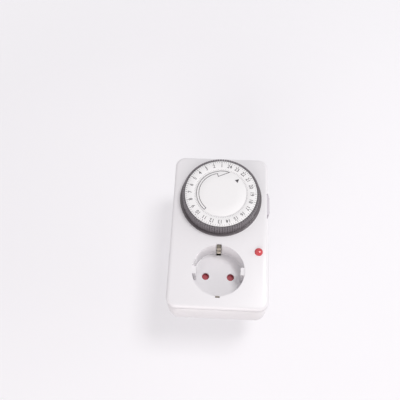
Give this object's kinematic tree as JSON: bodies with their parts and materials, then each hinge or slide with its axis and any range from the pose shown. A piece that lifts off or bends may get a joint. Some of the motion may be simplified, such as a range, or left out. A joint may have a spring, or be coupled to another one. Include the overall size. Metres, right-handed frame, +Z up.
{
  "type": "plug in timer switch",
  "caption": "Plug in mechanical timer switch: a turning dial with push-in segments above a recessed round socket, with a lamp, a side slider and a round two-pin plug behind.",
  "frame": {"origin": "centre of the plug's end face, midway between the two pins", "axes": "+Y points into the wall along the plug pins, +Z up with the dial above the socket, the front with the dial and the recess faces -Y"},
  "size_m": [0.0754, 0.0827, 0.123],
  "materials": {
    "housing_white": "moulded, semi-gloss",
    "dial_white": "moulded, semi-gloss, printed figures",
    "dial_grey": "moulded, satin",
    "tappet_grey": "moulded, satin",
    "slider_grey": "moulded, satin",
    "shutter_red": "moulded, satin",
    "lamp_red": "translucent, polished",
    "lamp_glass": "clear",
    "earth_metal": "nickel plated spring strip",
    "pin_nickel": "nickel plated, turned",
    "screw_steel": "zinc plated",
    "plate_steel": "galvanised sheet",
    "axle_steel": "ground",
    "spring_steel": "wire",
    "gear_plastic": "moulded, natural",
    "gear_brass": "machined",
    "contact_brass": "stamped",
    "coil_copper": "enamelled winding",
    "switch_plastic": "moulded",
    "wire_insulation": "sleeved wire",
    "resistor_ceramic": "lacquered"
  },
  "bodies": {
    "housing": {"front_cover": "housing_white", "rear_housing": "housing_white", "housing_screws": "screw_steel", "mechanism_plate": "plate_steel", "mechanism_screws": "screw_steel", "center_post": "axle_steel", "dial_center_disc": "dial_white", "idler_axle": "axle_steel", "motor_can": "plate_steel", "motor_coil": "coil_copper", "motor_leads": "wire_insulation", "switch_base": "switch_plastic", "switch_lid": "switch_plastic", "plunger_spring": "spring_steel", "line_bar": "contact_brass", "switched_bar": "contact_brass", "neutral_bar": "contact_brass", "plug_pin_line": "pin_nickel", "plug_pin_neutral": "pin_nickel", "plug_earth_strip": "earth_metal", "socket_earth_clips": "earth_metal", "shutter_spring": "spring_steel", "lamp_lens": "lamp_red", "neon_lamp": "lamp_glass", "lamp_leads": "wire_insulation", "lamp_resistor": "resistor_ceramic"},
    "dial": {"dial_carrier": "dial_grey", "number_ring": "dial_white"},
    "idler": {"idler_gear": "gear_plastic"},
    "motor_drive": {"motor_pinion": "gear_brass", "motor_rotor": "axle_steel"},
    "override": {"override_slider": "slider_grey"},
    "plunger": {"switch_plunger": "gear_plastic", "bridge_contact": "contact_brass"},
    "shutter": {"shutter": "shutter_red"},
    "hour_01": {"tappets_hour_01": "tappet_grey"},
    "hour_02": {"tappets_hour_02": "tappet_grey"},
    "hour_03": {"tappets_hour_03": "tappet_grey"},
    "hour_04": {"tappets_hour_04": "tappet_grey"},
    "hour_05": {"tappets_hour_05": "tappet_grey"},
    "hour_06": {"tappets_hour_06": "tappet_grey"},
    "hour_07": {"tappets_hour_07": "tappet_grey"},
    "hour_08": {"tappets_hour_08": "tappet_grey"},
    "hour_09": {"tappets_hour_09": "tappet_grey"},
    "hour_10": {"tappets_hour_10": "tappet_grey"},
    "hour_11": {"tappets_hour_11": "tappet_grey"},
    "hour_12": {"tappets_hour_12": "tappet_grey"},
    "hour_13": {"tappets_hour_13": "tappet_grey"},
    "hour_14": {"tappets_hour_14": "tappet_grey"},
    "hour_15": {"tappets_hour_15": "tappet_grey"},
    "hour_16": {"tappets_hour_16": "tappet_grey"},
    "hour_17": {"tappets_hour_17": "tappet_grey"},
    "hour_18": {"tappets_hour_18": "tappet_grey"},
    "hour_19": {"tappets_hour_19": "tappet_grey"},
    "hour_20": {"tappets_hour_20": "tappet_grey"},
    "hour_21": {"tappets_hour_21": "tappet_grey"},
    "hour_22": {"tappets_hour_22": "tappet_grey"},
    "hour_23": {"tappets_hour_23": "tappet_grey"},
    "hour_24": {"tappets_hour_24": "tappet_grey"}
  },
  "joints": [
    {"name": "dial_turn", "type": "hinge", "parent": "housing", "child": "dial", "pos_m": [0, -0.0535, 0.058], "axis": [0, 1, 0], "continuous": true},
    {"name": "tappet_push_01", "type": "slide", "parent": "dial", "child": "hour_01", "axis": [0, 1, 0], "range_m": [0, 0.003]},
    {"name": "tappet_push_02", "type": "slide", "parent": "dial", "child": "hour_02", "axis": [0, 1, 0], "range_m": [0, 0.003]},
    {"name": "tappet_push_03", "type": "slide", "parent": "dial", "child": "hour_03", "axis": [0, 1, 0], "range_m": [0, 0.003]},
    {"name": "tappet_push_04", "type": "slide", "parent": "dial", "child": "hour_04", "axis": [0, 1, 0], "range_m": [0, 0.003]},
    {"name": "tappet_push_05", "type": "slide", "parent": "dial", "child": "hour_05", "axis": [0, 1, 0], "range_m": [0, 0.003]},
    {"name": "tappet_push_06", "type": "slide", "parent": "dial", "child": "hour_06", "axis": [0, 1, 0], "range_m": [0, 0.003]},
    {"name": "tappet_push_07", "type": "slide", "parent": "dial", "child": "hour_07", "axis": [0, 1, 0], "range_m": [0, 0.003]},
    {"name": "tappet_push_08", "type": "slide", "parent": "dial", "child": "hour_08", "axis": [0, 1, 0], "range_m": [0, 0.003]},
    {"name": "tappet_push_09", "type": "slide", "parent": "dial", "child": "hour_09", "axis": [0, 1, 0], "range_m": [0, 0.003]},
    {"name": "tappet_push_10", "type": "slide", "parent": "dial", "child": "hour_10", "axis": [0, 1, 0], "range_m": [0, 0.003]},
    {"name": "tappet_push_11", "type": "slide", "parent": "dial", "child": "hour_11", "axis": [0, 1, 0], "range_m": [0, 0.003]},
    {"name": "tappet_push_12", "type": "slide", "parent": "dial", "child": "hour_12", "axis": [0, 1, 0], "range_m": [0, 0.003]},
    {"name": "tappet_push_13", "type": "slide", "parent": "dial", "child": "hour_13", "axis": [0, 1, 0], "range_m": [0, 0.003]},
    {"name": "tappet_push_14", "type": "slide", "parent": "dial", "child": "hour_14", "axis": [0, 1, 0], "range_m": [0, 0.003]},
    {"name": "tappet_push_15", "type": "slide", "parent": "dial", "child": "hour_15", "axis": [0, 1, 0], "range_m": [0, 0.003]},
    {"name": "tappet_push_16", "type": "slide", "parent": "dial", "child": "hour_16", "axis": [0, 1, 0], "range_m": [0, 0.003]},
    {"name": "tappet_push_17", "type": "slide", "parent": "dial", "child": "hour_17", "axis": [0, 1, 0], "range_m": [0, 0.003]},
    {"name": "tappet_push_18", "type": "slide", "parent": "dial", "child": "hour_18", "axis": [0, 1, 0], "range_m": [0, 0.003]},
    {"name": "tappet_push_19", "type": "slide", "parent": "dial", "child": "hour_19", "axis": [0, 1, 0], "range_m": [0, 0.003]},
    {"name": "tappet_push_20", "type": "slide", "parent": "dial", "child": "hour_20", "axis": [0, 1, 0], "range_m": [0, 0.003]},
    {"name": "tappet_push_21", "type": "slide", "parent": "dial", "child": "hour_21", "axis": [0, 1, 0], "range_m": [0, 0.003]},
    {"name": "tappet_push_22", "type": "slide", "parent": "dial", "child": "hour_22", "axis": [0, 1, 0], "range_m": [0, 0.003]},
    {"name": "tappet_push_23", "type": "slide", "parent": "dial", "child": "hour_23", "axis": [0, 1, 0], "range_m": [0, 0.003]},
    {"name": "tappet_push_24", "type": "slide", "parent": "dial", "child": "hour_24", "axis": [0, 1, 0], "range_m": [0, 0.003]},
    {"name": "idler_turn", "type": "hinge", "parent": "housing", "child": "idler", "pos_m": [-0.0172, -0.0535, 0.04595], "axis": [0, 1, 0], "continuous": true},
    {"name": "motor_turn", "type": "hinge", "parent": "housing", "child": "motor_drive", "pos_m": [0.00052, -0.0535, 0.04908], "axis": [0, 1, 0], "continuous": true},
    {"name": "override_slide", "type": "slide", "parent": "housing", "child": "override", "axis": [0, 0, 1], "range_m": [-0.004, 0]},
    {"name": "plunger_slide", "type": "slide", "parent": "housing", "child": "plunger", "axis": [0, 1, 0], "range_m": [-0.0032, 0], "deforming": ["plunger_spring"]},
    {"name": "shutter_turn", "type": "hinge", "parent": "housing", "child": "shutter", "pos_m": [0, -0.0315, 0], "axis": [0, 1, 0], "range_deg": [0, 50], "stiffness_Nm_per_rad": 0.004, "deforming": ["shutter_spring"]}
  ],
  "couplings": [
    {"joint": "idler_turn", "follows": "dial_turn", "ratio": -6},
    {"joint": "motor_turn", "follows": "dial_turn", "ratio": 30},
    {"joint": "plunger_slide", "follows": "override_slide", "ratio": 0.8}
  ]
}
